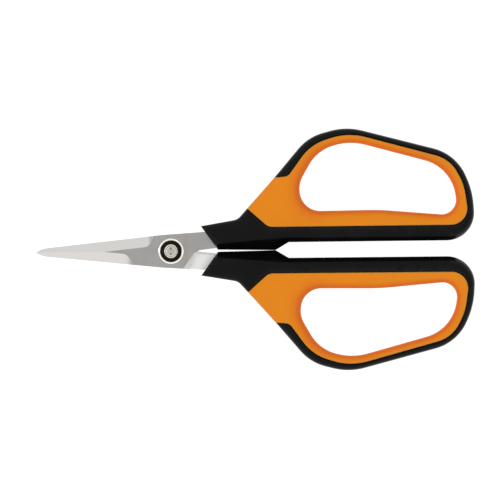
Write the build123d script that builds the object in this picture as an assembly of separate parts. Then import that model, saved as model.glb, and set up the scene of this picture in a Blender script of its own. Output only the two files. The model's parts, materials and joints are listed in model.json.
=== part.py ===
from build123d import *
import math
import os

# Floral snips: two equal halves that cross at one pivot screw. Each half is a pointed steel
# blade whose tang is moulded into a black loop handle with a softer lining round the
# finger loop.
#
# Everything is drawn in millimetres with the pivot at the origin, the blades towards -X, the
# handles towards +X and the shearing plane between the blades at Z = 0. The front half
# (blade on top, handle on the +Y side) is drawn, and the back half is the same half turned
# over about X. The finished pieces are then moved so that the closed snips rest on Z = 0
# with the centre of their box above the origin.

# Overall
TIP_X = -49.2                 # the blades' points
HANDLE_END_X = 110.33         # the far end of the finger loops
HANDLE_THICK = 10.0
NECK_THICK = 7.2              # the handle at the end that holds the blade
NECK_END_X = 10.0             # where the neck is thinnest
NECK_FULL_X = 34.0            # where the handle reaches its full thickness
OUTER_ROUND = 2.4             # rounding of the handle's outer edges
LOOP_ROUND = 2.2              # rounding of the finger loop's edges

# Outlines of the front handle: corner x, corner y, corner radius
HANDLE_OUTLINE = [
    (10.9, 9.0, 0), (24.7, 11.4, 4.5), (50.3, 41.1, 17.8), (64.2, 44.7, 22.8), (103.9, 34.3, 17.4),
    (109.9, 20.9, 28.9), (110.9, 2.9, 10.0), (42.8, 2.85, 0), (38.0, 0.05, 0), (17.3, 0.4, 0),
]
LOOP_OUTLINE = [
    (48.0, 14.0, 7.5), (75.9, 14.3, 75.0), (104.9, 11.8, 5.4), (102.3, 29.5, 15.2),
    (65.7, 39.5, 21.3), (53.7, 36.3, 14.9), (46.6, 24.0, 9.6),
]
# The lining's border with the black handle. Its first two corners lie outside the handle,
# because there the lining wraps round the outer edge.
GRIP_OUTLINE = [
    (25.9, 16.4, 0), (35.3, 25.9, 0), (42.8, 26.8, 3.1), (51.1, 38.2, 17.2), (64.8, 42.5, 22.5),
    (101.8, 32.4, 12.5), (106.7, 23.2, 20.9), (108.8, 8.5, 6.1), (35.2, 8.4, 4.2),
]
LINING_WALL = 1.8             # lining thickness over the web that it grips
WEB_THICK = 3.2               # the black web inside the lining

# Blade
BLADE_THICK = 1.8
BLADE_OUTLINE = [
    (-47.31, 1.36, 8.7), (-3.3, 5.93, 40.0), (12.0, 6.9, 0), (28.0, 7.2, 0), (46.0, 7.2, 1.2),
    (46.0, 4.2, 1.2), (36.0, 4.2, 3.0), (30.0, 1.6, 3.0), (16.5, 1.0, 3.0), (7.9, -0.05, 4.2),
    (6.8, -6.6, 0.6), (-3.3, -5.93, 40.0), (-47.31, -1.36, 8.7), (TIP_X, 0, 0),
]
EDGE_FROM = (-45.0, 1.6)      # the cutting edge is straight from here ...
EDGE_TO = (-3.3, 5.93)        # ... to here
EDGE_LAND = 0.15              # thickness left at a ground edge
BEVEL_ANGLE = 24.0
CUTTING_BEVEL_END = -9.8      # x where the cutting bevel starts to run out
CUTTING_WHEEL = 4.6           # radius of that run-out
SWEDGE_END = -18.0            # x where the blunt side's bevel starts to run out
SWEDGE_WHEEL = 6.5
SHANK_EDGE = [(20.0, 1.156, 0), (16.5, 1.0, 3.0), (7.9, -0.05, 4.2), (6.7, -7.2, 0)]
RELIEF_DEPTH = 0.35           # the inner face is relieved along the shank's edge by this much ...
RELIEF_WIDTH = 0.8            # ... over this width
FACET_FROM = (8.5, -0.6)      # the outer face falls away beyond the line from here ...
FACET_TO = (4.2, -6.6)        # ... to here
FACET_ANGLE = 18.0
TANG_HOLE_X = (21.5, 30.0)    # plastic fills these holes and locks the tang
TANG_HOLE_Y = 4.4
TANG_HOLE_R = 1.2

# Pivot stack, heights from the shearing plane
PIVOT_HOLE_R = 3.05
BUSH_R = 3.0
BUSH_BORE_R = 2.0
BUSH_FLANGE_R = 3.85
BUSH_FLANGE_LOW = 2.25
BUSH_FLANGE_TOP = 2.85
CAP_R = 4.6
CAP_RIM_R = 3.9
CAP_TOP = 2.7
FRICTION_R = 5.0
FRICTION_THICK = 0.2
BACK_WASHER_THICK = 0.5
NUT_FLATS = 7.0
NUT_THICK = 1.9
SCREW_R = 1.95
SCREW_HEAD_R = 2.6
SCREW_HEAD_EDGE = 0.6
SCREW_HEAD_TOP = 4.1
SCREW_END = -4.1
SPANNER_HOLE_R = 0.45
SPANNER_HOLE_Y = 0.98
SPANNER_HOLE_DEPTH = 0.6

BLADE_FACE = FRICTION_THICK / 2
BLADE_BACK = BLADE_FACE + BLADE_THICK
REACH = 300.0                 # longer than anything here, for cutting tools


def outline(corners):
    """A flat face from a list of corner x, corner y and corner radius."""
    points = [(x, y) for x, y, _ in corners]
    radii = [radius for _, _, radius in corners]
    return make_face(FilletPolyline(*points, radius=radii, close=True).edges())


def disc(radius, low, high, x=0.0, y=0.0):
    """A round plate between two heights."""
    return Pos(x, y, (low + high) / 2) * Cylinder(radius, high - low)


def ring(outer, inner, low, high):
    """A round plate with a round hole."""
    return disc(outer, low, high) - disc(inner, low - 1, high + 1)


def turned_over(piece):
    """The same piece on the other half."""
    return Rot(180, 0, 0) * piece


def bevel_tool(end_x, wheel_radius):
    """Everything that grinding one bevel takes away: above its plane, with a round run-out."""
    slope = (EDGE_TO[1] - EDGE_FROM[1]) / (EDGE_TO[0] - EDGE_FROM[0])
    end_y = EDGE_FROM[1] + slope * (end_x - EDGE_FROM[0])
    along = Vector(1, slope, 0).normalized()
    inward = Vector(along.Y, -along.X, 0)
    uphill = inward + Vector(0, 0, math.tan(math.radians(BEVEL_ANGLE)))
    normal = uphill.cross(along)
    if normal.Z < 0:
        normal = normal * -1
    plane = Plane(origin=(end_x, end_y, BLADE_FACE + EDGE_LAND), x_dir=along, z_dir=normal)
    slab = Box(REACH, REACH / 10, REACH / 10, align=(Align.MAX, Align.CENTER, Align.MIN))
    wheel = Pos(0, 0, wheel_radius) * Rot(90, 0, 0) * Cylinder(wheel_radius, REACH / 10)
    return plane.location * (slab + wheel)


def relief_tool():
    """A wedge along the shank's edge that relieves the inner face."""
    points = [(x, y) for x, y, _ in SHANK_EDGE]
    path = FilletPolyline(*points, radius=[radius for _, _, radius in SHANK_EDGE[1:-1]])
    slope = RELIEF_DEPTH / RELIEF_WIDTH
    over = 0.2
    wedge = make_face(Polyline(
        (-RELIEF_WIDTH - over / slope, -over), (over, RELIEF_DEPTH + over * slope), (over, -over), close=True,
    ).edges())
    outward = Vector(0, 0, 1).cross(path % 0)
    start = Plane(origin=path @ 0, x_dir=outward, z_dir=path % 0)
    return Pos(0, 0, BLADE_FACE) * sweep(start * wedge, path=path)


def facet_tool():
    """Everything above the slanting facet at the shank's lower corner."""
    along = Vector(FACET_TO[0] - FACET_FROM[0], FACET_TO[1] - FACET_FROM[1], 0)
    length = along.length
    along = along.normalized()
    fall = math.tan(math.radians(FACET_ANGLE))
    plane = Plane(
        origin=(*FACET_FROM, BLADE_BACK), x_dir=along, z_dir=Vector(-fall * along.Y, fall * along.X, 1),
    )
    return plane.location * Box(length + 1, 8, 4, align=(Align.MIN, Align.MIN, Align.MIN))


def front_blade():
    """Flat inside, ground outside: cutting bevel on the +Y side, shorter swedge on the -Y side."""
    blade = extrude(Pos(0, 0, BLADE_FACE) * outline(BLADE_OUTLINE), BLADE_THICK)
    blade -= bevel_tool(CUTTING_BEVEL_END, CUTTING_WHEEL)
    blade -= mirror(bevel_tool(SWEDGE_END, SWEDGE_WHEEL), about=Plane.XZ)
    blade -= relief_tool()
    blade -= facet_tool()
    blade -= disc(PIVOT_HOLE_R, 0, BLADE_BACK + 1)
    for x in TANG_HOLE_X:
        blade -= disc(TANG_HOLE_R, 0, BLADE_BACK + 1, x, TANG_HOLE_Y)
    return blade


def side_profile():
    """The handle seen from the side: full thickness at the loop, thinner neck at the blade."""
    full = HANDLE_THICK / 2
    thin = NECK_THICK / 2
    upper = [(0, thin), (NECK_END_X, thin), (NECK_FULL_X, full), (REACH / 2, full)]
    lower = [(x, -z) for x, z in reversed(upper)]
    face = make_face(Polyline(*upper, *lower, close=True).edges())
    return extrude(Plane.XZ * face, REACH / 2, both=True)


def outer_wires(face):
    """A face's outer border, as a list like its inner ones."""
    return [face.outer_wire()]


def handle_body():
    """The whole moulded handle, black part and lining together, with rounded edges."""
    body = extrude(outline(HANDLE_OUTLINE) - outline(LOOP_OUTLINE), HANDLE_THICK / 2, both=True)
    for radius, wires in ((LOOP_ROUND, Face.inner_wires), (OUTER_ROUND, outer_wires)):
        flat_faces = body.faces().filter_by(Axis.Z).sort_by(Axis.Z)
        edges = [e for f in (flat_faces[0], flat_faces[-1]) for w in wires(f) for e in w.edges()]
        body = fillet(edges, radius)
    return body & side_profile()


def handle_and_grip(blade):
    """The black handle, moulded over the tang, and the lining that grips its web."""
    body = handle_body()
    lining_zone = extrude(outline(GRIP_OUTLINE), HANDLE_THICK, both=True)
    web_face = offset(outline(HANDLE_OUTLINE), -LINING_WALL) - offset(outline(LOOP_OUTLINE), LINING_WALL)
    web = extrude(web_face, WEB_THICK / 2, both=True)
    grip = (body & lining_zone) - web
    handle = body - grip - blade
    return handle, grip


def pivot_pieces():
    """Screw, nut, bush and washers. They stay with the back half."""
    head = disc(SCREW_HEAD_R, BUSH_FLANGE_TOP, BUSH_FLANGE_TOP + SCREW_HEAD_EDGE)
    dome_rise = SCREW_HEAD_TOP - BUSH_FLANGE_TOP - SCREW_HEAD_EDGE
    dome_radius = (SCREW_HEAD_R ** 2 + dome_rise ** 2) / (2 * dome_rise)
    dome = Pos(0, 0, SCREW_HEAD_TOP - dome_radius) * Sphere(dome_radius)
    head += dome & disc(SCREW_HEAD_R, BUSH_FLANGE_TOP, SCREW_HEAD_TOP + 1)
    for y in (-SPANNER_HOLE_Y, SPANNER_HOLE_Y):
        head -= disc(SPANNER_HOLE_R, SCREW_HEAD_TOP - SPANNER_HOLE_DEPTH, SCREW_HEAD_TOP + 1, 0, y)
    back_washer_low = -BLADE_BACK - BACK_WASHER_THICK
    nut_low = back_washer_low - NUT_THICK
    nut_face = RegularPolygon(NUT_FLATS / 2, 6, major_radius=False)
    nut = extrude(Pos(0, 0, nut_low) * nut_face, NUT_THICK) - disc(SCREW_R, nut_low - 1, 0)
    return {
        "pivot_screw": head + disc(SCREW_R, SCREW_END, BUSH_FLANGE_TOP),
        "pivot_nut": nut,
        "pivot_bush": ring(BUSH_FLANGE_R, BUSH_BORE_R, BUSH_FLANGE_LOW, BUSH_FLANGE_TOP)
        + ring(BUSH_R, BUSH_BORE_R, back_washer_low, BUSH_FLANGE_LOW),
        "cap_washer": ring(CAP_R, PIVOT_HOLE_R, BLADE_BACK, CAP_TOP)
        - disc(CAP_RIM_R, BUSH_FLANGE_LOW, CAP_TOP + 1),
        "friction_washer": ring(FRICTION_R, PIVOT_HOLE_R, -BLADE_FACE, BLADE_FACE),
        "back_washer": ring(CAP_R, PIVOT_HOLE_R, back_washer_low, -BLADE_BACK),
    }


def all_pieces():
    """Every piece of the closed snips by name, in the drawing frame."""
    blade = front_blade()
    handle, grip = handle_and_grip(blade)
    front = {"front_blade": blade, "front_handle": handle, "front_grip": grip}
    back = {name.replace("front", "back"): turned_over(piece) for name, piece in front.items()}
    return {**front, **back, **pivot_pieces()}


to_part_frame = Pos(-(TIP_X + HANDLE_END_X) / 2, 0, HANDLE_THICK / 2)
os.makedirs("parts", exist_ok=True)
for name, piece in all_pieces().items():
    export_step(to_part_frame * piece, f"parts/{name}.step")
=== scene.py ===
"""Floral snips: handles, soft linings, blades and pivot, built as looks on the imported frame."""

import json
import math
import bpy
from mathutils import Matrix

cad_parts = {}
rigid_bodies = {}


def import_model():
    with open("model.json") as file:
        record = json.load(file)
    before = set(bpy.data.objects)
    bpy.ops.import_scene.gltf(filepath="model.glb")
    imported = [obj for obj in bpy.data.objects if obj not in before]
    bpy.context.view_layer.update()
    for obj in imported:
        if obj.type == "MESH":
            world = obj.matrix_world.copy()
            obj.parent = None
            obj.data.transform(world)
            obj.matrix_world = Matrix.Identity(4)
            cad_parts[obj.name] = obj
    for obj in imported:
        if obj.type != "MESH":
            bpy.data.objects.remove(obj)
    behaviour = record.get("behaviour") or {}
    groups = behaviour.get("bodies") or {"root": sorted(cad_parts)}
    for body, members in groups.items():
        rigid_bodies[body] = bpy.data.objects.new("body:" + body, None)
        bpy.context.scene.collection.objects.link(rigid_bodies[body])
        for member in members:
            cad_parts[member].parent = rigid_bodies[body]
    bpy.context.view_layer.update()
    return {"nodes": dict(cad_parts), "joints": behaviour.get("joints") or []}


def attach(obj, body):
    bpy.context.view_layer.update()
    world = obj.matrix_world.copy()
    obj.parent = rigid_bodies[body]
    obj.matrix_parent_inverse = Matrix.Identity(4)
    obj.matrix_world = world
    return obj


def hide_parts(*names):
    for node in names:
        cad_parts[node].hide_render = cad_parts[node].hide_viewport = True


bl_info = {
    "name": "Floral Snips",
    "version": (1, 0, 0),
    "blender": (4, 5, 0),
    "location": "3D View > Sidebar > Snips",
    "description": "Builds the looks of a pair of floral snips around their packed frame",
    "category": "Object",
}

import bmesh
import bpy
import numpy as np
from mathutils import Matrix, Vector, geometry

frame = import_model()
PIVOT = Vector(frame["joints"][0]["pos_m"])
BACK_BODY = frame["joints"][0]["parent"]
FRONT_BODY = frame["joints"][0]["child"]
MM = 0.001

# Shapes are drawn in millimetres about the pivot, blades towards -X, front handle on the +Y
# side, shearing plane at Z = 0. The back half is the front half turned over about X.
TO_FRONT = Matrix.Translation(PIVOT) @ Matrix.Scale(MM, 4)
TO_BACK = TO_FRONT @ Matrix.Rotation(math.pi, 4, "X")

ARC_STEP = math.radians(4.0)  # spacing of points along arcs ...
SIDE_STEP = 1.5               # ... along straight sides ...
FILL_STEP = 2.0               # ... and over flat faces
FILL_CLEARANCE = 0.45         # how far those keep from the border, as a share of their spacing
EDGE_LEVELS = 9               # rings of points over a rounded edge
CORNER_EASE = 2.0             # length over which two sides' edges blend at a sharp corner
NEARLY_STRAIGHT = 0.02        # a corner that turns less than this, in radians, counts as straight
SMALLEST_RADIUS = 0.3
LOWEST_WALL = 0.05
SHELL_MERGE = 1e-4            # points nearer than this become one, in the moulded pieces ...
TURNED_MERGE = 1e-5           # ... and in the turned ones
SHARP_ANGLE = math.radians(32.0)
TURNED_SEGMENTS = 96

# Where the handle thins towards the blade, as a share of its full thickness
NECK_START_X = 10.0
NECK_FULL_X = 34.0
NECK_SHARE = 0.72

# The lining's seam, from the lower edge of the handle round the loop to the upper edge
SEAM = [
    (35.5, 8.4, 4.2), (108.8, 8.5, 6.1), (106.7, 23.2, 20.9), (101.8, 32.4, 12.5),
    (64.8, 42.5, 22.5), (51.1, 38.2, 17.2), (42.8, 26.8, 3.1),
]
SEAM_LOW_END = (27.8, 15.2, 0.0)
SEAM_HIGH_END = (37.8, 26.36, 0.0)

# Side by side: corner x, y, radius, then for the side that starts there how far its rounded
# edge reaches inward, how high its upright wall is, and the edge's shape (1 flat bevel, 2 round)
HANDLE_CENTRE_SIDES = [
    (17.05, 0.4, 0.0, 2.1, 1.9, 1.04),
    (38.0, 0.015, 0.0, 3.0, 0.6, 1.04),
    (42.8, 2.85, 0.0, 1.75, 2.1, 1.12),
]
HANDLE_OUTER_SIDES = [
    (110.9, 2.9, 10.0, 1.35, 2.9, 1.9),
    (109.9, 20.9, 28.9, 1.3, 2.9, 1.9),
    (103.9, 34.3, 17.4, 1.25, 2.9, 1.9),
    (64.2, 44.7, 22.8, 1.3, 2.9, 1.9),
    (50.3, 41.1, 17.8, 1.5, 2.9, 1.9),
]
HANDLE_NECK_SIDES = [
    (24.3, 11.3, 4.0, 0.9, 3.5, 1.5),
    (10.9, 9.0, 0.0, 0.8, 3.9, 1.3),
]
# The crease between the handle's face and the bevel that faces the other handle, by corner
CREASE = {0: (16.4, 2.5), 1: (37.0, 4.2), 2: (43.5, 4.6)}
BEVEL_SLOPE = 1.25
FLAT_BEVEL_SHAPE = 1.3
# The same three values for the sides where the handle and the lining meet, and outside
GROOVE_AT_BAR = (0.35, 4.25, 1.3)
GROOVE_AT_NECK = (0.6, 4.2, 1.3)
GROOVE_AT_BOW = (0.72, 3.9, 1.3)
LINING_SEAM_SIDE = (0.35, 4.5, 1.8)
LINING_OUTER_SIDE = (1.6, 2.9, 1.9)
HANDLE_FACE = 4.85
LINING_FACE = 5.0
# How strongly painted shade deepens the lining's colour at its finger loop and at its outer edge
LOOP_SHADE = 0.9
LOOP_SHADE_REACH = ((50.0, 60.0), (2.9, 1.5))    # between these x, it narrows from 2.9 to 1.5
OUTER_SHADE = 0.35
# A painted highlight: a thin tan line where the lining's seam edge catches light
SEAM_HIGHLIGHT_WIDTH = 0.3
SEAM_HIGHLIGHT_FROM_Z = 3.0        # the line runs on the faces only, this far off the shearing plane

# The finger loop. Its edge reaches away from the hole, into the lining.
LOOP_SIDES = [
    (48.0, 14.0, 7.5, -2.6, 2.3, 2.0),
    (75.9, 14.3, 75.0, -2.4, 2.4, 2.0),
    (104.9, 11.8, 5.4, -2.1, 2.6, 2.0),
    (102.3, 29.5, 15.2, -2.05, 2.6, 2.0),
    (65.7, 39.5, 21.3, -2.05, 2.6, 2.0),
    (53.7, 36.3, 14.9, -2.8, 2.3, 2.0),
    (46.6, 24.0, 9.6, -2.8, 2.0, 2.0),
]


# ---------------------------------------------------------------- settings

class HandleSettings(bpy.types.PropertyGroup):
    """Finish of the black handles and their soft linings."""

    plastic: bpy.props.FloatVectorProperty(
        name="Handle colour", description="Colour of the hard plastic",
        subtype="COLOR", size=3, min=0.0, max=1.0, default=(0.0014, 0.0015, 0.0015))
    plastic_roughness: bpy.props.FloatProperty(
        name="Handle roughness", description="How matte the hard plastic is",
        subtype="FACTOR", min=0.0, max=1.0, default=0.28)
    lining: bpy.props.FloatVectorProperty(
        name="Lining colour", description="Colour of the lining's faces",
        subtype="COLOR", size=3, min=0.0, max=1.0, default=(0.76, 0.231, 0.0065))
    # The lining's rounded edges get painted shade in this deeper colour
    lining_edge_shade: bpy.props.FloatVectorProperty(
        name="Lining edge colour", description="Deeper colour of the lining's rounded edges",
        subtype="COLOR", size=3, min=0.0, max=1.0, default=(0.72, 0.14, 0.01))
    # Colour of the painted highlight where the lining's seam edge catches light
    seam: bpy.props.FloatVectorProperty(
        name="Seam line colour", description="Colour of the thin line along the lining's seam",
        subtype="COLOR", size=3, min=0.0, max=1.0, default=(0.5, 0.27, 0.055))
    lining_roughness: bpy.props.FloatProperty(
        name="Lining roughness", description="How matte the soft lining is",
        subtype="FACTOR", min=0.0, max=1.0, default=0.55)
    grain: bpy.props.FloatProperty(
        name="Grain size", description="Size of the moulded grain",
        subtype="DISTANCE", unit="LENGTH", min=0.00005, max=0.002, default=0.00022)


class BladeSettings(bpy.types.PropertyGroup):
    """Finish of the ground steel blades."""

    steel: bpy.props.FloatVectorProperty(
        name="Steel colour", description="Colour of the blade steel",
        subtype="COLOR", size=3, min=0.0, max=1.0, default=(0.6, 0.582, 0.566))
    shank: bpy.props.FloatVectorProperty(
        name="Shank colour", description="Bright colour of the shanks' inner faces",
        subtype="COLOR", size=3, min=0.0, max=1.0, default=(0.96, 0.96, 0.95))
    # A painted reflection: the warm streak beside the pivot
    reflection_streak: bpy.props.FloatProperty(
        name="Warm streak", description="How strong the warm streak beside the pivot is",
        subtype="FACTOR", min=0.0, max=1.0, default=0.55)
    roughness: bpy.props.FloatProperty(
        name="Roughness", description="How satin the ground steel is",
        subtype="FACTOR", min=0.0, max=1.0, default=0.3)
    line_width: bpy.props.FloatProperty(
        name="Grinding line width", description="Width of the fine grinding lines",
        subtype="DISTANCE", unit="LENGTH", min=0.00002, max=0.001, default=0.00009)


class PivotSettings(bpy.types.PropertyGroup):
    """Finish of the screw, washers and bush."""

    steel: bpy.props.FloatVectorProperty(
        name="Pivot steel", description="Colour of the turned pivot steel",
        subtype="COLOR", size=3, min=0.0, max=1.0, default=(0.93, 0.89, 0.81))
    # Colour of the painted shade in the screw head's holes and groove
    hollow_shade: bpy.props.FloatVectorProperty(
        name="Hollow colour", description="Colour of the grime in the screw's holes and groove",
        subtype="COLOR", size=3, min=0.0, max=1.0, default=(0.16, 0.14, 0.1))
    bush: bpy.props.FloatVectorProperty(
        name="Bush colour", description="Colour of the bush's plastic",
        subtype="COLOR", size=3, min=0.0, max=1.0, default=(0.003, 0.0022, 0.0016))


class StageSettings(bpy.types.PropertyGroup):
    """Floor, light and camera."""

    view_width: bpy.props.FloatProperty(
        name="View width", description="Width of the view at the snips",
        subtype="DISTANCE", unit="LENGTH", min=0.05, max=2.0, default=0.18199)
    distance: bpy.props.FloatProperty(
        name="Camera distance", description="How far the camera stands above the snips",
        subtype="DISTANCE", unit="LENGTH", min=0.2, max=10.0, default=2.2)
    roll: bpy.props.FloatProperty(
        name="Camera roll", description="Turn of the camera about its own line of sight",
        subtype="ANGLE", unit="ROTATION", default=math.radians(-0.6))
    floor: bpy.props.FloatVectorProperty(
        name="Floor colour", description="Colour of the plain floor",
        subtype="COLOR", size=3, min=0.0, max=1.0, default=(0.25, 0.25, 0.25))
    floor_glow: bpy.props.FloatProperty(
        name="Floor glow", description="Light that the floor gives by itself, as a light table",
        min=0.0, max=5.0, default=0.95)
    softbox: bpy.props.FloatProperty(
        name="Softbox power", description="Power of the softbox at the left",
        unit="POWER", min=0.0, max=50.0, default=1.3)
    sky: bpy.props.FloatProperty(
        name="Surrounding light", description="Brightness of the room around the snips",
        min=0.0, max=5.0, default=1.3)


# ---------------------------------------------------------------- outlines

def direction(start, end):
    """The unit vector from one corner to another, seen from above."""
    return (Vector(end[:2]) - Vector(start[:2])).normalized()


def left_of(vector):
    """The vector turned a quarter turn to the left."""
    return Vector((-vector.y, vector.x))


def inset(corners, amounts, moved_corners):
    """The outline with each side moved to its left by its own amount, and its arcs to suit."""
    result = []
    for i, (x, y, radius) in enumerate(corners):
        before = direction(corners[i - 1], corners[i])
        after = direction(corners[i], corners[(i + 1) % len(corners)])
        shift_before = left_of(before) * amounts[i - 1]
        shift_after = left_of(after) * amounts[i]
        turn = before.cross(after)
        place = Vector((x, y)) + (shift_before + shift_after) / 2
        if abs(turn) > NEARLY_STRAIGHT:
            along = (shift_after - shift_before).cross(after) / turn
            place = Vector((x, y)) + shift_before + before * along
        if i in moved_corners:
            place = Vector(moved_corners[i])
        shrink = math.copysign(1.0, turn) * (amounts[i - 1] + amounts[i]) / 2
        result.append((place.x, place.y, max(radius - shrink, SMALLEST_RADIUS) if radius else 0.0))
    return result


def arc_at(corners, i):
    """Start, centre, radius and turn of the arc that rounds one corner."""
    x, y, radius = corners[i][:3]
    before = direction(corners[i - 1], corners[i])
    after = direction(corners[i], corners[(i + 1) % len(corners)])
    turn = math.atan2(before.cross(after), before.dot(after))
    start = Vector((x, y)) - before * radius * math.tan(abs(turn) / 2)
    centre = start + left_of(before) * math.copysign(radius, turn)
    return start, centre, turn


def point_counts(corners):
    """How many points each corner's arc and each straight side get."""
    arcs, sides = [], []
    for i, corner in enumerate(corners):
        turn = arc_at(corners, i)[2]
        arcs.append(max(3, math.ceil(abs(turn) / ARC_STEP) + 1) if corner[2] else 1)
    for i in range(len(corners)):
        j = (i + 1) % len(corners)
        length = (arc_at(corners, j)[0] - arc_points(corners, i, arcs[i])[-1]).length
        sides.append(max(0, math.ceil(length / SIDE_STEP) - 1))
    return arcs, sides


def arc_points(corners, i, count):
    """Points along one corner's arc, or the corner itself where it is sharp."""
    start, centre, turn = arc_at(corners, i)
    if count == 1:
        return [start]
    spoke = start - centre
    angles = [turn * k / (count - 1) for k in range(count)]
    return [centre + Matrix.Rotation(angle, 2) @ spoke for angle in angles]


def trace(corners, counts):
    """Points round the outline, each with the two sides whose values it takes and their mix."""
    arcs, sides = counts
    points, mixes = [], []
    for i in range(len(corners)):
        j = (i + 1) % len(corners)
        arc = arc_points(corners, i, arcs[i])
        for k, point in enumerate(arc):
            points.append(point)
            mixes.append((i - 1, i, k / (arcs[i] - 1) if arcs[i] > 1 else 0.5))
        goal = arc_at(corners, j)[0]
        for k in range(sides[i]):
            point = arc[-1].lerp(goal, (k + 1) / (sides[i] + 1))
            points.append(point)
            near_start = max(0.0, 1 - (point - arc[-1]).length / CORNER_EASE) / 2
            near_end = max(0.0, 1 - (point - goal).length / CORNER_EASE) / 2
            if arcs[i] == 1 and near_start > 0:
                mixes.append((i - 1, i, 1 - near_start))
            elif arcs[j] == 1:
                mixes.append((i, j, near_end))
            else:
                mixes.append((i, i, 0.0))
    return np.array([tuple(p) for p in points]), mixes


def mixed(mixes, values):
    """The values of the sides, mixed for each point."""
    return np.array([(1 - w) * values[a] + w * values[b] for a, b, w in mixes])


# ---------------------------------------------------------------- shells

class Shell:
    """Vertices and faces of a flat moulded piece, upper half first."""

    def __init__(self):
        self.points = []
        self.faces = []

    def ring(self, plan, heights):
        """Adds one ring of points and returns their indices."""
        first = len(self.points)
        self.points += [(x, y, z) for (x, y), z in zip(plan, heights)]
        return list(range(first, len(self.points)))

    def strip(self, low, high, facing_in):
        """Joins two rings with a band of faces."""
        count = len(low)
        for i in range(count):
            j = (i + 1) % count
            face = (low[i], low[j], high[j], high[i])
            self.faces.append(face[::-1] if facing_in else face)

    def wall(self, rows, top, moved_corners=None, facing_in=False):
        """An upright wall with a rounded edge along an outline; returns the face's border."""
        corners = [row[:3] for row in rows]
        counts = point_counts(corners)
        side, mixes = trace(corners, counts)
        border = trace(inset(corners, [row[3] for row in rows], moved_corners or {}), counts)[0]
        wall_top = mixed(mixes, [row[4] for row in rows])
        power = 2 / mixed(mixes, [row[5] for row in rows])
        if moved_corners:
            drop = np.hypot(*(border - side).T) * BEVEL_SLOPE / neck_lift(side[:, 0])
            flat = power > 2 / FLAT_BEVEL_SHAPE
            wall_top = np.where(flat, np.maximum(top - drop, LOWEST_WALL), wall_top)
        previous = self.ring(side, np.zeros(len(side)))
        for level in range(EDGE_LEVELS):
            angle = math.pi / 2 * level / (EDGE_LEVELS - 1)
            across = 1 - max(math.cos(angle), 0.0) ** power
            up = math.sin(angle) ** power
            plan = side + (border - side) * across[:, None]
            current = self.ring(plan, wall_top + (top - wall_top) * up)
            self.strip(previous, current, facing_in)
            previous = current
        return previous

    def fill(self, rings, top):
        """Covers the face between an outer ring and any hole rings."""
        loops = [np.array([self.points[i][:2] for i in ring]) for ring in rings]
        known = [i for ring in rings for i in ring]
        extra = grid_inside(loops, FILL_STEP)
        inner = self.ring(extra, np.full(len(extra), top)) if len(extra) else []
        lookup = known + inner
        plan = [Vector(self.points[i][:2]) for i in lookup]
        edges, first = [], 0
        for ring in rings:
            edges += [(first + k, first + (k + 1) % len(ring)) for k in range(len(ring))]
            first += len(ring)
        verts, _, faces, origins, _, _ = geometry.delaunay_2d_cdt(plan, edges, [], 0, 1e-5)
        new_index = []
        for vert, origin in zip(verts, origins):
            if origin:
                new_index.append(lookup[origin[0]])
            else:
                new_index += self.ring([tuple(vert)], [top])
        centres = np.array([np.mean([tuple(verts[i]) for i in face], axis=0) for face in faces])
        for face, keep in zip(faces, inside(loops, centres)):
            if keep:
                self.faces.append(tuple(new_index[i] for i in face))

    def mesh(self, name, lift):
        """The closed mesh: the upper half, lifted by a function of x, and its reflection."""
        points = np.array(self.points)
        points[:, 2] *= lift(points[:, 0])
        below = points * (1, 1, -1)
        count = len(points)
        faces = self.faces + [tuple(count + i for i in face[::-1]) for face in self.faces]
        mesh = bpy.data.meshes.new(name)
        mesh.from_pydata(np.vstack([points, below]).tolist(), [], faces)
        tidy_mesh(mesh, SHELL_MERGE)
        return mesh


def inside(loops, points):
    """Whether each point lies inside an odd number of closed loops."""
    odd = np.zeros(len(points), bool)
    for loop in loops:
        ends = np.roll(loop, -1, axis=0)
        for (x1, y1), (x2, y2) in zip(loop, ends):
            if y1 == y2:
                continue
            crosses = (y1 > points[:, 1]) != (y2 > points[:, 1])
            at = x1 + (points[:, 1] - y1) * (x2 - x1) / (y2 - y1)
            odd ^= crosses & (points[:, 0] < at)
    return odd


def grid_inside(loops, step):
    """Evenly spaced points inside the loops, away from their lines."""
    low, high = loops[0].min(axis=0), loops[0].max(axis=0)
    xs, ys = (np.arange(low[k] + step / 2, high[k], step) for k in (0, 1))
    points = np.array([(x, y) for x in xs for y in ys])
    points = points[inside(loops, points)]
    border = np.vstack(loops)
    gaps = np.array([np.hypot(*(border - point).T).min() for point in points])
    return points[gaps > step * FILL_CLEARANCE] if len(points) else points


def tidy_mesh(mesh, merge):
    """Merges doubled points, makes all faces point outward and marks the creases."""
    bm = bmesh.new()
    bm.from_mesh(mesh)
    bmesh.ops.remove_doubles(bm, verts=bm.verts, dist=merge)
    bmesh.ops.dissolve_degenerate(bm, edges=bm.edges, dist=merge / 10)
    bmesh.ops.recalc_face_normals(bm, faces=bm.faces)
    for face in bm.faces:
        face.smooth = True
    for edge in bm.edges:
        edge.smooth = len(edge.link_faces) == 2 and edge.calc_face_angle(0.0) < SHARP_ANGLE
    bm.to_mesh(mesh)
    bm.free()


def neck_lift(x):
    """The handle's thickness at x as a share of its full thickness."""
    share = np.clip((x - NECK_START_X) / (NECK_FULL_X - NECK_START_X), 0, 1)
    return NECK_SHARE + (1 - NECK_SHARE) * share * share * (3 - 2 * share)


def lathe(profile):
    """The points and faces of a closed list of radius and height turned about Z."""
    points, faces = [], []
    for k in range(TURNED_SEGMENTS):
        angle = 2 * math.pi * k / TURNED_SEGMENTS
        points += [(r * math.cos(angle), r * math.sin(angle), z) for r, z in profile]
    count = len(profile)
    for k in range(TURNED_SEGMENTS):
        a, b = k * count, (k + 1) % TURNED_SEGMENTS * count
        for i in range(count):
            j = (i + 1) % count
            faces.append((a + i, b + i, b + j, a + j))
    return points, faces


# ---------------------------------------------------------------- pieces

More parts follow.
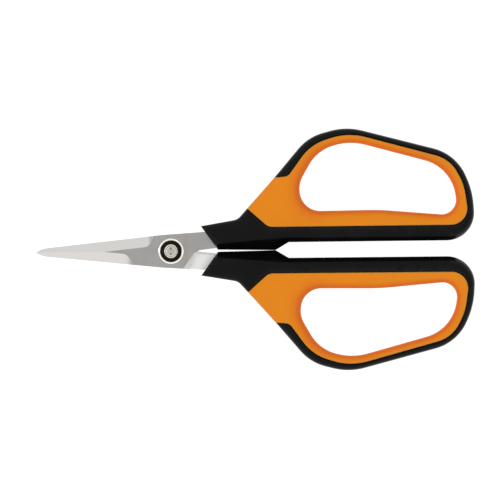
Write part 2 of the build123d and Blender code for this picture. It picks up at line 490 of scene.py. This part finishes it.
def place(mesh, name, body, matrix, material, node, slot):
    """Adds a piece from a drawn mesh, on its body, standing for its CAD node."""
    own = mesh.copy()
    own.name = name
    own.transform(matrix)
    piece = bpy.data.objects.new(name, own)
    bpy.context.scene.collection.objects.link(piece)
    own.materials.append(material)
    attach(piece, body)
    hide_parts(node)


def finish_node(name, material):
    """Gives a material to a CAD node that keeps its own shape."""
    node = frame["nodes"][name]
    node.data.materials.clear()
    node.data.materials.append(material)


def both_halves(mesh, stem, material, slot):
    """Places one mesh on the front half and, turned over, on the back half."""
    halves = (("front", FRONT_BODY, TO_FRONT), ("back", BACK_BODY, TO_BACK))
    for half, body, matrix in halves:
        node = f"{half}_{stem}"
        place(mesh, f"{node}_shell", body, matrix, material, node, slot)


def handle_mesh():
    """The black handle: neck, bar and bow, ending where the lining wraps the outer edge."""
    bow_seam = [corner + GROOVE_AT_BOW for corner in reversed(SEAM[1:])]
    bow_seam[-1] = SEAM[1] + GROOVE_AT_BAR
    rows = (
        HANDLE_CENTRE_SIDES
        + HANDLE_OUTER_SIDES
        + [SEAM_HIGH_END + GROOVE_AT_NECK]
        + bow_seam
        + [SEAM[0] + GROOVE_AT_NECK]
        + [SEAM_LOW_END + HANDLE_NECK_SIDES[0][3:]]
        + HANDLE_NECK_SIDES
    )
    shell = Shell()
    border = shell.wall(rows, HANDLE_FACE, CREASE)
    shell.fill([border], HANDLE_FACE)
    return shell.mesh("handle", neck_lift)


def lining_mesh():
    """The soft lining round the finger loop, out to the handle's edge near the neck."""
    rows = [corner + LINING_SEAM_SIDE for corner in (SEAM_LOW_END, *SEAM)]
    rows.append(SEAM_HIGH_END + LINING_OUTER_SIDE)
    shell = Shell()
    border = shell.wall(rows, LINING_FACE)
    loop = shell.wall(LOOP_SIDES, LINING_FACE, facing_in=True)
    shell.fill([border, loop], LINING_FACE)
    mesh = shell.mesh("lining", neck_lift)
    mark_painted_light(mesh)
    return mesh


def nearest(points, plan):
    """The distance in the plan from one place to the nearest of many points."""
    return float(np.hypot(*(points - plan).T).min())


def mark_painted_light(mesh):
    """Stores painted shade by how near each point is to the finger loop or outer edge, and a painted
    highlight on the points at the seam.
    """
    corners = [row[:3] for row in LOOP_SIDES]
    loop = trace(corners, point_counts(corners))[0]
    low, high = Vector(SEAM_LOW_END[:2]), Vector(SEAM_HIGH_END[:2])
    outer = np.array([tuple(low.lerp(high, k / 40)) for k in range(41)])
    corners = [SEAM_LOW_END, *SEAM, SEAM_HIGH_END]
    seam, mixes = trace(corners, point_counts(corners))
    last = len(corners) - 1
    seam = np.array([point for point, mix in zip(seam, mixes) if mix[:2] != (last, last)])
    painted_edge_shade = mesh.attributes.new("painted_edge_shade", "FLOAT", "POINT")
    seam_highlight = mesh.attributes.new("seam_highlight", "FLOAT", "POINT")
    for vertex, edge, highlight in zip(mesh.vertices, painted_edge_shade.data, seam_highlight.data):
        plan = np.array(vertex.co[:2])
        reach = float(np.interp(plan[0], *LOOP_SHADE_REACH))
        # Painted shade, strongest at the finger loop's rounded edge and fainter at the outer edge
        at_loop = LOOP_SHADE * math.exp(-((nearest(loop, plan) / reach) ** 2))
        at_outer = OUTER_SHADE * math.exp(-(nearest(outer, plan) ** 2))
        edge.value = max(at_loop, at_outer)
        # A painted highlight on the points along the seam
        on_seam = nearest(seam, plan) < SEAM_HIGHLIGHT_WIDTH and abs(vertex.co.z) > SEAM_HIGHLIGHT_FROM_Z
        highlight.value = float(on_seam)


# ---------------------------------------------------------------- shader groups

def new_group(name, inputs, outputs):
    """An empty shader group with number sockets."""
    group = bpy.data.node_groups.new(name, "ShaderNodeTree")
    for socket_name, default in inputs:
        socket = group.interface.new_socket(socket_name, in_out="INPUT", socket_type="NodeSocketFloat")
        socket.default_value = default
    for socket_name in outputs:
        group.interface.new_socket(socket_name, in_out="OUTPUT", socket_type="NodeSocketFloat")
    return group, group.nodes.new("NodeGroupInput"), group.nodes.new("NodeGroupOutput")


def math_node(tree, operation, first, second):
    """A Math node with each input a number or another node's output."""
    node = tree.nodes.new("ShaderNodeMath")
    node.operation = operation
    for socket, value in zip(node.inputs, (first, second)):
        if isinstance(value, (int, float)):
            socket.default_value = value
        else:
            tree.links.new(value, socket)
    return node.outputs[0]


def object_place(tree):
    """The place on the piece, which stays with it when it moves."""
    return tree.nodes.new("ShaderNodeTexCoord").outputs["Object"]


def stored(tree, name):
    """A value that is stored on the mesh's points."""
    node = tree.nodes.new("ShaderNodeAttribute")
    node.attribute_name = name
    return node.outputs["Fac"]


def stretched_noise(tree, coordinates, scales, detail, roughness=0.5):
    """Noise on object coordinates, with its own number of cells per metre along each axis."""
    mapping = tree.nodes.new("ShaderNodeMapping")
    mapping.inputs["Scale"].default_value = scales
    tree.links.new(coordinates, mapping.inputs["Vector"])
    noise = tree.nodes.new("ShaderNodeTexNoise")
    noise.inputs["Scale"].default_value = 1.0
    noise.inputs["Detail"].default_value = detail
    noise.inputs["Roughness"].default_value = roughness
    tree.links.new(mapping.outputs[0], noise.inputs["Vector"])
    return noise.outputs["Fac"]


def ranged(tree, value, low, high, from_low=0.3, from_high=0.7):
    """A value from one range spread over another; the goal may be numbers or sockets."""
    node = tree.nodes.new("ShaderNodeMapRange")
    node.inputs["From Min"].default_value = from_low
    node.inputs["From Max"].default_value = from_high
    for name, goal in (("To Min", low), ("To Max", high)):
        if isinstance(goal, (int, float)):
            node.inputs[name].default_value = goal
        else:
            tree.links.new(goal, node.inputs[name])
    tree.links.new(value, node.inputs["Value"])
    return node.outputs[0]


def spread_roughness(group, given, value):
    """The group's roughness, varied to both sides by its spread as a noise goes."""
    low = math_node(group, "SUBTRACT", given.outputs["Roughness"], given.outputs["Spread"])
    high = math_node(group, "ADD", given.outputs["Roughness"], given.outputs["Spread"])
    return ranged(group, value, low, high)


def grain_group():
    """Moulded grain: fine bumps for a Bump node, and the roughness that goes with them."""
    group, given, result = new_group(
        "Moulded grain", [("Cells per metre", 4000.0), ("Roughness", 0.4), ("Spread", 0.08)],
        ["Height", "Roughness"])
    coordinates = object_place(group)
    fine = group.nodes.new("ShaderNodeTexNoise")
    fine.inputs["Detail"].default_value = 2.0
    group.links.new(coordinates, fine.inputs["Vector"])
    group.links.new(given.outputs["Cells per metre"], fine.inputs["Scale"])
    pits = group.nodes.new("ShaderNodeTexVoronoi")
    group.links.new(coordinates, pits.inputs["Vector"])
    pits_per_metre = math_node(group, "MULTIPLY", given.outputs["Cells per metre"], 0.8)
    group.links.new(pits_per_metre, pits.inputs["Scale"])
    depth = math_node(group, "MULTIPLY", pits.outputs["Distance"], 0.6)
    group.links.new(math_node(group, "ADD", fine.outputs["Fac"], depth), result.inputs["Height"])
    handled = stretched_noise(group, coordinates, (90, 90, 90), 3.0)
    group.links.new(spread_roughness(group, given, handled), result.inputs["Roughness"])
    return group


def grinding_group():
    """Fine parallel grinding lines across and along X, picked by a mask."""
    group, given, result = new_group(
        "Grinding lines",
        [("Lines per metre", 9000.0), ("Across", 0.0), ("Roughness", 0.3), ("Spread", 0.06)],
        ["Height", "Tone", "Roughness"])
    coordinates = object_place(group)
    scaled = group.nodes.new("ShaderNodeVectorMath")
    scaled.operation = "SCALE"
    group.links.new(coordinates, scaled.inputs[0])
    group.links.new(given.outputs["Lines per metre"], scaled.inputs["Scale"])
    along = stretched_noise(group, scaled.outputs[0], (0.012, 1.0, 1.0), 3.0, 0.6)
    across = stretched_noise(group, scaled.outputs[0], (1.0, 0.02, 0.02), 3.0, 0.6)
    lines = group.nodes.new("ShaderNodeMix")
    group.links.new(given.outputs["Across"], lines.inputs["Factor"])
    group.links.new(along, lines.inputs[2])
    group.links.new(across, lines.inputs[3])
    lines = lines.outputs[0]
    group.links.new(lines, result.inputs["Height"])
    cloud = stretched_noise(group, coordinates, (60, 160, 160), 2.0)
    fine_share = math_node(group, "MULTIPLY", lines, 0.6)
    cloud_share = math_node(group, "MULTIPLY", cloud, 0.4)
    tone = math_node(group, "ADD", fine_share, cloud_share)
    group.links.new(ranged(group, tone, 0.0, 1.0), result.inputs["Tone"])
    group.links.new(spread_roughness(group, given, tone), result.inputs["Roughness"])
    return group


def shared_group(name, builder):
    """The shader group of that name, built the first time it is asked for."""
    return bpy.data.node_groups.get(name) or builder()


def use_group(tree, group, **values):
    """Places a group in a material and sets its inputs to numbers."""
    node = tree.nodes.new("ShaderNodeGroup")
    node.node_tree = group
    for name, value in values.items():
        node.inputs[name.replace("_", " ")].default_value = value
    return node


# ---------------------------------------------------------------- materials

def new_material(name):
    """A node material and its Principled shader."""
    material = bpy.data.materials.new(name)
    material.use_nodes = True
    return material, material.node_tree, material.node_tree.nodes["Principled BSDF"]


def bump(tree, shader, height, distance, strength=1.0):
    """Feeds a height through a Bump node to the shader's normal."""
    node = tree.nodes.new("ShaderNodeBump")
    node.inputs["Strength"].default_value = strength
    node.inputs["Distance"].default_value = distance
    tree.links.new(height, node.inputs["Height"])
    tree.links.new(node.outputs["Normal"], shader.inputs["Normal"])


def colour_mix(tree, factor, first, second):
    """A mix of two colours."""
    node = tree.nodes.new("ShaderNodeMix")
    node.data_type = "RGBA"
    tree.links.new(factor, node.inputs["Factor"])
    for socket, value in ((node.inputs[6], first), (node.inputs[7], second)):
        if isinstance(value, bpy.types.NodeSocket):
            tree.links.new(value, socket)
        else:
            socket.default_value = (*value, 1.0)
    return node.outputs[2]


def scaled_colour(colour, share):
    """A colour made lighter or darker."""
    return tuple(min(1.0, channel * share) for channel in colour)


def handle_plastic(settings):
    """Satin black nylon with a fine moulded grain, a little paler where hands rub it."""
    material, tree, shader = new_material("handle_plastic")
    grain = use_group(tree, shared_group("Moulded grain", grain_group),
                      Cells_per_metre=1 / settings.grain, Roughness=settings.plastic_roughness, Spread=0.05)
    rubbed = ranged(tree, stretched_noise(tree, object_place(tree), (140, 140, 140), 4.0), 0.0, 1.0)
    colour = colour_mix(tree, rubbed, scaled_colour(settings.plastic, 0.8),
                        scaled_colour(settings.plastic, 1.35))
    tree.links.new(colour, shader.inputs["Base Color"])
    tree.links.new(grain.outputs["Roughness"], shader.inputs["Roughness"])
    shader.inputs["Specular IOR Level"].default_value = 0.19
    bump(tree, shader, grain.outputs["Height"], 0.000006, 0.5)
    return material


def lining_rubber(settings):
    """Soft orange elastomer: flat on its faces, with painted shade on its rounded edges and a painted
    highlight along its seam.
    """
    material, tree, shader = new_material("lining_rubber")
    grain = use_group(tree, shared_group("Moulded grain", grain_group),
                      Cells_per_metre=0.7 / settings.grain, Roughness=settings.lining_roughness, Spread=0.06)
    patch = ranged(tree, stretched_noise(tree, object_place(tree), (45, 45, 45), 3.0), 0.0, 1.0)
    face = colour_mix(tree, patch, scaled_colour(settings.lining, 0.96), scaled_colour(settings.lining, 1.03))
    # Painted shade deepens the colour on the rounded edges
    colour = colour_mix(tree, stored(tree, "painted_edge_shade"), face, settings.lining_edge_shade)
    # A painted highlight along the seam
    faded = math_node(tree, "MULTIPLY", stored(tree, "seam_highlight"), 0.75)
    colour = colour_mix(tree, faded, colour, settings.seam)
    tree.links.new(colour, shader.inputs["Base Color"])
    tree.links.new(grain.outputs["Roughness"], shader.inputs["Roughness"])
    shader.inputs["Specular IOR Level"].default_value = 0.15
    bump(tree, shader, grain.outputs["Height"], 0.000012, 0.5)
    return material


# A face's height off the shearing plane times the upward part of its normal is negative on an
# inner face, and the blade's thickness on an outer flat. These lengths are in metres.
INNER_FACE_BELOW = -0.00001
OUTER_FLAT_ABOVE = 0.0018
SHANK_FADE = 0.004            # the bright shanks fade out this far to both sides of the pivot
# A painted reflection: a warm streak on the front blade's outer flat beside the pivot
REFLECTION_STREAK_X = 0.0054             # the warm streak's middle, from the pivot
REFLECTION_STREAK_HALF_WIDTH = 0.0012
REFLECTION_STREAK_TINT = (0.98, 0.88, 0.74)


def blade_steel(settings):
    """Ground stainless steel: satin grey, more matte on the inner faces and bright on their shanks, with a
    painted warm reflection beside the pivot.
    """
    material, tree, shader = new_material("blade_steel")
    place_of = tree.nodes.new("ShaderNodeSeparateXYZ")
    tree.links.new(object_place(tree), place_of.inputs[0])
    off_plane = math_node(tree, "SUBTRACT", place_of.outputs["Z"], PIVOT.z)
    normal = tree.nodes.new("ShaderNodeNewGeometry").outputs["True Normal"]
    turned = tree.nodes.new("ShaderNodeVectorTransform")
    turned.vector_type = "NORMAL"
    turned.convert_from = "WORLD"
    turned.convert_to = "OBJECT"
    tree.links.new(normal, turned.inputs[0])
    parts = tree.nodes.new("ShaderNodeSeparateXYZ")
    tree.links.new(turned.outputs[0], parts.inputs[0])
    facing = math_node(tree, "MULTIPLY", off_plane, parts.outputs["Z"])
    inner = math_node(tree, "LESS_THAN", facing, INNER_FACE_BELOW)
    lines = use_group(tree, shared_group("Grinding lines", grinding_group),
                      Lines_per_metre=1 / settings.line_width, Across=0.85,
                      Roughness=settings.roughness, Spread=0.04)
    ground = colour_mix(tree, lines.outputs["Tone"], scaled_colour(settings.steel, 0.95),
                        scaled_colour(settings.steel, 1.05))
    shank = ranged(tree, place_of.outputs["X"], 0.0, 1.0, PIVOT.x - SHANK_FADE, PIVOT.x + SHANK_FADE)
    colour = colour_mix(tree, math_node(tree, "MULTIPLY", inner, shank), ground, settings.shank)
    # Painted reflection: a warm streak on the front blade's outer flat beside the pivot
    reflection_streak = band(tree, place_of.outputs["X"], PIVOT.x + REFLECTION_STREAK_X, REFLECTION_STREAK_HALF_WIDTH)
    reflection_streak = math_node(tree, "MULTIPLY", reflection_streak, settings.reflection_streak)
    outer_flat = math_node(tree, "GREATER_THAN", facing, OUTER_FLAT_ABOVE)
    reflection_streak = math_node(tree, "MULTIPLY", reflection_streak, outer_flat)
    front_blade = math_node(tree, "GREATER_THAN", off_plane, 0.0)
    reflection_streak = math_node(tree, "MULTIPLY", reflection_streak, front_blade)
    reflection_colour = tuple(channel * share for channel, share in zip(settings.steel, REFLECTION_STREAK_TINT))
    colour = colour_mix(tree, reflection_streak, colour, reflection_colour)
    tree.links.new(colour, shader.inputs["Base Color"])
    matte = math_node(tree, "MULTIPLY", inner, 0.3)
    tree.links.new(math_node(tree, "ADD", lines.outputs["Roughness"], matte), shader.inputs["Roughness"])
    shader.inputs["Metallic"].default_value = 1.0
    bump(tree, shader, lines.outputs["Height"], 0.000002, 0.4)
    return material


def band(tree, value, centre, half_width):
    """One at a centre value, fading smoothly to nothing on both sides."""
    gap = math_node(tree, "ABSOLUTE", math_node(tree, "SUBTRACT", value, centre), 0.0)
    node = tree.nodes.new("ShaderNodeMapRange")
    node.interpolation_type = "SMOOTHSTEP"
    node.inputs["From Min"].default_value = half_width
    node.inputs["From Max"].default_value = 0.0
    tree.links.new(gap, node.inputs["Value"])
    return node.outputs[0]


def pivot_steel(settings):
    """Bright turned steel with faint wear, and painted shade in the screw head's holes and groove."""
    material, tree, shader = new_material("pivot_steel")
    lines = use_group(tree, shared_group("Grinding lines", grinding_group),
                      Lines_per_metre=5000.0, Across=0.5, Roughness=0.2, Spread=0.05)
    colour = colour_mix(tree, lines.outputs["Tone"], scaled_colour(settings.steel, 0.9), settings.steel)
    # Painted shade in the screw head's holes and groove
    colour = colour_mix(tree, stored(tree, "hollow_shade"), colour, settings.hollow_shade)
    tree.links.new(colour, shader.inputs["Base Color"])
    tree.links.new(lines.outputs["Roughness"], shader.inputs["Roughness"])
    shader.inputs["Metallic"].default_value = 1.0
    bump(tree, shader, lines.outputs["Height"], 0.000003, 0.4)
    return material


def bush_plastic(settings):
    """Smooth black acetal."""
    material, tree, shader = new_material("bush_plastic")
    grain = use_group(tree, shared_group("Moulded grain", grain_group),
                      Cells_per_metre=7000.0, Roughness=0.35, Spread=0.06)
    tone = colour_mix(tree, grain.outputs["Height"], scaled_colour(settings.bush, 0.7),
                      scaled_colour(settings.bush, 1.4))
    tree.links.new(tone, shader.inputs["Base Color"])
    tree.links.new(grain.outputs["Roughness"], shader.inputs["Roughness"])
    shader.inputs["Specular IOR Level"].default_value = 0.2
    bump(tree, shader, grain.outputs["Height"], 0.000006, 0.4)
    return material


# ---------------------------------------------------------------- pivot pieces

# Turned pieces as closed lists of radius and height
CAP_PROFILE = [
    (3.05, 1.9), (4.55, 1.9), (4.67, 2.0), (4.69, 2.28), (4.66, 2.42), (4.58, 2.5), (4.4, 2.59),
    (4.26, 2.66), (4.19, 2.68), (4.12, 2.66), (3.98, 2.59), (3.89, 2.52), (3.87, 2.4), (3.8, 2.25),
    (3.05, 2.25),
]
BUSH_PROFILE = [
    (2.0, -2.4), (3.0, -2.4), (3.0, 2.25), (3.7, 2.25), (3.83, 2.32), (3.85, 2.45), (3.82, 2.6),
    (3.7, 2.74), (3.56, 2.8), (3.46, 2.72), (3.4, 2.62), (3.34, 2.6), (3.26, 2.68), (3.18, 2.8),
    (3.05, 2.85), (2.6, 2.85), (2.0, 2.85),
]
BACK_WASHER_PROFILE = [
    (3.05, -1.9), (3.05, -2.35), (3.1, -2.4), (4.45, -2.4), (4.57, -2.36), (4.6, -2.25),
    (4.6, -1.98), (4.52, -1.9),
]
# The screw: its head's top from the middle outward, then its side down to the tip
HEAD_TOP = [
    (0.0, 3.98), (0.5, 3.975), (1.0, 3.95), (1.5, 3.9), (1.75, 3.86), (1.85, 3.8), (1.93, 3.66),
    (2.0, 3.66), (2.06, 3.76), (2.14, 3.82), (2.24, 3.8), (2.36, 3.68), (2.48, 3.48), (2.56, 3.24),
    (2.58, 3.05),
]
HEAD_SIDE = [(2.58, 2.85), (1.95, 2.85), (1.95, -3.95), (1.8, -4.1), (1.0, -4.1), (0.25, -4.1)]
HEAD_RINGS = 44
SPANNER_HOLE_Y = 0.95
SPANNER_HOLE_R = 0.5
SPANNER_HOLE_DEPTH = 0.45
SPANNER_HOLE_SLOPE = 0.35
# Painted shade in the head's spanner holes and turned groove, where shade falls
HOLE_SHADE = 0.55              # how dark the head's holes ...
GROOVE_SHADE = 0.75            # ... and its turned groove are
GROOVE_R = 1.96
GROOVE_WIDTH = 0.1
NUT_FLATS = 7.0
NUT_HOLE_R = 1.95
# The nut's chamfers: height, and the radius that its corners are turned down to
NUT_LEVELS = [
    (-2.4, 3.6), (-2.52, 3.8), (-2.7, 4.1), (-3.95, 4.1), (-4.12, 3.8), (-4.25, 3.55), (-4.3, 3.4),
]


def mesh_from(name, points, faces):
    """A tidy mesh from points and faces."""
    mesh = bpy.data.meshes.new(name)
    mesh.from_pydata(points, [], faces)
    tidy_mesh(mesh, TURNED_MERGE)
    return mesh


def turned_mesh(name, profile):
    """A tidy turned mesh."""
    return mesh_from(name, *lathe(profile))


def hole_share(x, y):
    """How deep a point of the screw head lies in a spanner hole, from none to all."""
    gap = math.hypot(x, abs(y) - SPANNER_HOLE_Y)
    share = min(1.0, max(0.0, (SPANNER_HOLE_R + 0.1 - gap) / SPANNER_HOLE_SLOPE))
    return share * share * (3 - 2 * share)


def screw_mesh():
    """The pivot screw: a domed head with a turned groove and two spanner holes."""
    segments = TURNED_SEGMENTS
    radii, heights = zip(*HEAD_TOP)
    rows = [(radii[-1] * k / HEAD_RINGS, True) for k in range(1, HEAD_RINGS + 1)]
    rows = [(r, float(np.interp(r, radii, heights)), holed) for r, holed in rows]
    rows += [(r, z, False) for r, z in HEAD_SIDE]
    points, faces, dark = [(0.0, 0.0, heights[0])], [], [0.0]
    for r, z, holed in rows:
        groove = math.exp(-(((r - GROOVE_R) / GROOVE_WIDTH) ** 2)) if holed else 0.0
        for k in range(segments):
            angle = 2 * math.pi * k / segments
            x, y = r * math.cos(angle), r * math.sin(angle)
            share = hole_share(x, y) if holed else 0.0
            points.append((x, y, z - SPANNER_HOLE_DEPTH * share))
            # Painted shade, deepest in the spanner holes and the turned groove
            dark.append(max(HOLE_SHADE * share, GROOVE_SHADE * groove))
    for k in range(segments):
        faces.append((0, 1 + k, 1 + (k + 1) % segments))
    for level in range(len(rows) - 1):
        a, b = 1 + level * segments, 1 + (level + 1) * segments
        for k in range(segments):
            j = (k + 1) % segments
            faces.append((a + k, b + k, b + j, a + j))
    last = 1 + (len(rows) - 1) * segments
    faces.append(tuple(last + k for k in range(segments)))
    mesh = bpy.data.meshes.new("pivot_screw")
    mesh.from_pydata(points, [], faces)
    # Stores the painted shade of the holes and groove
    shade_attribute = mesh.attributes.new("hollow_shade", "FLOAT", "POINT")
    shade_attribute.data.foreach_set("value", dark)
    tidy_mesh(mesh, TURNED_MERGE)
    return mesh


def nut_mesh():
    """A hexagon nut with turned chamfers, open in the middle."""
    points, faces, segments = [], [], TURNED_SEGMENTS
    levels = [(NUT_LEVELS[0][0], NUT_HOLE_R)] + NUT_LEVELS + [(NUT_LEVELS[-1][0], NUT_HOLE_R)]
    for z, limit in levels:
        for k in range(segments):
            angle = 2 * math.pi * k / segments
            fold = (angle + math.pi / 6) % (math.pi / 3) - math.pi / 6
            radius = min(NUT_FLATS / 2 / math.cos(fold), limit)
            points.append((radius * math.cos(angle), radius * math.sin(angle), z))
    count = len(levels)
    for level in range(count):
        a, b = level * segments, (level + 1) % count * segments
        for k in range(segments):
            j = (k + 1) % segments
            faces.append((a + k, b + k, b + j, a + j))
    return mesh_from("pivot_nut", points, faces)


# ---------------------------------------------------------------- operators

class SNIPS_OT_handles(bpy.types.Operator):
    """Build the black handles"""

    bl_idname = "snips.handles"
    bl_label = "Handles"

    def execute(self, context):
        material = handle_plastic(context.scene.snips_handle)
        both_halves(handle_mesh(), "handle", material, "handle_plastic")
        return {"FINISHED"}


class SNIPS_OT_linings(bpy.types.Operator):
    """Build the soft linings of the finger loops"""

    bl_idname = "snips.linings"
    bl_label = "Linings"

    def execute(self, context):
        material = lining_rubber(context.scene.snips_handle)
        both_halves(lining_mesh(), "grip", material, "soft_lining")
        return {"FINISHED"}


class SNIPS_OT_blades(bpy.types.Operator):
    """Finish the ground blades"""

    bl_idname = "snips.blades"
    bl_label = "Blades"

    def execute(self, context):
        material = blade_steel(context.scene.snips_blade)
        for name in ("front_blade", "back_blade"):
            finish_node(name, material)
        return {"FINISHED"}


class SNIPS_OT_pivot(bpy.types.Operator):
    """Build the pivot screw, nut, bush and washers"""

    bl_idname = "snips.pivot"
    bl_label = "Pivot"

    def execute(self, context):
        settings = context.scene.snips_pivot
        steel, bush = pivot_steel(settings), bush_plastic(settings)
        made = [
            (screw_mesh(), "pivot_screw", steel, "pivot_steel"),
            (nut_mesh(), "pivot_nut", steel, "pivot_steel"),
            (turned_mesh("cap_washer", CAP_PROFILE), "cap_washer", steel, "pivot_steel"),
            (turned_mesh("back_washer", BACK_WASHER_PROFILE), "back_washer", steel, "pivot_steel"),
            (turned_mesh("pivot_bush", BUSH_PROFILE), "pivot_bush", bush, "bush_plastic"),
        ]
        for mesh, node, material, slot in made:
            place(mesh, f"{node}_turned", BACK_BODY, TO_FRONT, material, node, slot)
        finish_node("friction_washer", bush)
        return {"FINISHED"}


FLOOR_REACH = 3.0
VIEW_CENTRE = Vector((0.02872, 0.00044, 0.0))   # where the camera aims, from the pivot
FRONT_LIGHT = -0.06                             # how the light changes towards the back
# How bright the surroundings are at each height, from straight below (-1) to straight above (1)
TENT = [
    (-1.0, 0.6), (-0.3, 0.8), (-0.02, 0.3), (0.0, 0.12), (0.3, 0.55), (0.6, 1.0), (0.72, 0.96),
    (0.88, 0.64), (1.0, 0.36),
]


def area_light(name, place_at, aim, size, power):
    """A rectangular softbox that looks at a point."""
    data = bpy.data.lights.new(name, "AREA")
    data.shape = "RECTANGLE"
    data.size, data.size_y = size
    data.energy = power
    light = bpy.data.objects.new(name, data)
    light.location = place_at
    light.rotation_euler = (Vector(aim) - Vector(place_at)).to_track_quat("-Z", "Y").to_euler()
    bpy.context.scene.collection.objects.link(light)


def light_tent(tree, strength):
    """A soft tent of light: dim straight above, brightest half-way down, a little more in front."""
    direction_of = tree.nodes.new("ShaderNodeTexCoord").outputs["Generated"]
    parts = tree.nodes.new("ShaderNodeSeparateXYZ")
    tree.links.new(direction_of, parts.inputs[0])
    ramp = tree.nodes.new("ShaderNodeValToRGB")
    stops = ramp.color_ramp.elements
    while len(stops) < len(TENT):
        stops.new(0.5)
    for stop, (height, level) in zip(stops, TENT):
        stop.position = (height + 1) / 2
        stop.color = (level, level, level, 1.0)
    tree.links.new(ranged(tree, parts.outputs["Z"], 0.0, 1.0, -1.0, 1.0), ramp.inputs["Fac"])
    front = math_node(tree, "MULTIPLY", parts.outputs["Y"], FRONT_LIGHT)
    share = math_node(tree, "MULTIPLY", math_node(tree, "ADD", front, 1.0), strength)
    background = tree.nodes["Background"]
    tree.links.new(ramp.outputs["Color"], background.inputs["Color"])
    tree.links.new(share, background.inputs["Strength"])


def floor_material(settings):
    """A plain pale floor that glows a little, as a light table does."""
    material, tree, shader = new_material("floor")
    shader.inputs["Base Color"].default_value = (*settings.floor, 1.0)
    shader.inputs["Roughness"].default_value = 0.9
    shader.inputs["Specular IOR Level"].default_value = 0.1
    shader.inputs["Emission Color"].default_value = (1.0, 1.0, 1.0, 1.0)
    shader.inputs["Emission Strength"].default_value = settings.floor_glow
    return material


class SNIPS_OT_stage(bpy.types.Operator):
    """Lay the floor and set the light and the camera"""

    bl_idname = "snips.stage"
    bl_label = "Stage"

    def execute(self, context):
        settings = context.scene.snips_stage
        scene = context.scene
        scene.view_settings.view_transform = "Standard"
        mesh = bpy.data.meshes.new("floor")
        corners = [(x * FLOOR_REACH, y * FLOOR_REACH, 0) for x, y in ((-1, -1), (1, -1), (1, 1), (-1, 1))]
        mesh.from_pydata(corners, [], [(0, 1, 2, 3)])
        mesh.materials.append(floor_material(settings))
        floor = bpy.data.objects.new("floor", mesh)
        scene.collection.objects.link(floor)
        world = bpy.data.worlds.new("studio")
        scene.world = world
        world.use_nodes = True
        light_tent(world.node_tree, settings.sky)
        area_light("softbox_left", (-0.9, 0.1, 0.6), (-0.03, 0.0, 0.0), (0.25, 0.25), settings.softbox)
        self.camera(scene, settings)
        return {"FINISHED"}

    def camera(self, scene, settings):
        """Looks straight down at the closed snips."""
        data = bpy.data.cameras.new("camera")
        data.sensor_width = 36.0
        data.lens = data.sensor_width * settings.distance / settings.view_width
        data.clip_end = 20.0
        camera = bpy.data.objects.new("camera", data)
        turn = Matrix.Rotation(settings.roll, 3, "Z")
        camera.location = PIVOT + turn @ VIEW_CENTRE + Vector((0, 0, settings.distance))
        camera.rotation_euler = (0.0, 0.0, settings.roll)
        scene.collection.objects.link(camera)
        scene.camera = camera


class SNIPS_PT_panel(bpy.types.Panel):
    """Settings and steps of the snips"""

    bl_idname = "SNIPS_PT_panel"
    bl_label = "Snips"
    bl_space_type = "VIEW_3D"
    bl_region_type = "UI"
    bl_category = "Snips"

    def draw(self, context):
        layout = self.layout
        for title, owner, steps in PANEL_ROWS:
            box = layout.box()
            box.label(text=title)
            settings = getattr(context.scene, owner)
            for name in settings.__annotations__:
                box.prop(settings, name)
            for step in steps:
                box.operator(step)


PANEL_ROWS = [
    ("Handles", "snips_handle", ("snips.handles", "snips.linings")),
    ("Blades", "snips_blade", ("snips.blades",)),
    ("Pivot", "snips_pivot", ("snips.pivot",)),
    ("Stage", "snips_stage", ("snips.stage",)),
]
SETTINGS = {
    "snips_handle": HandleSettings,
    "snips_blade": BladeSettings,
    "snips_pivot": PivotSettings,
    "snips_stage": StageSettings,
}
CLASSES = (
    *SETTINGS.values(), SNIPS_OT_handles, SNIPS_OT_linings, SNIPS_OT_blades, SNIPS_OT_pivot,
    SNIPS_OT_stage, SNIPS_PT_panel,
)


def register():
    """Registers the classes and hangs the settings on the scene."""
    for cls in CLASSES:
        bpy.utils.register_class(cls)
    for name, cls in SETTINGS.items():
        setattr(bpy.types.Scene, name, bpy.props.PointerProperty(type=cls))


def unregister():
    """Takes the settings and the classes away again."""
    for name in SETTINGS:
        delattr(bpy.types.Scene, name)
    for cls in reversed(CLASSES):
        bpy.utils.unregister_class(cls)


def main():
    """Builds every piece and the stage."""
    register()
    bpy.ops.snips.handles()
    bpy.ops.snips.linings()
    bpy.ops.snips.blades()
    bpy.ops.snips.pivot()
    bpy.ops.snips.stage()
    bpy.context.view_layer.update()


if __name__ == "__main__":
    main()
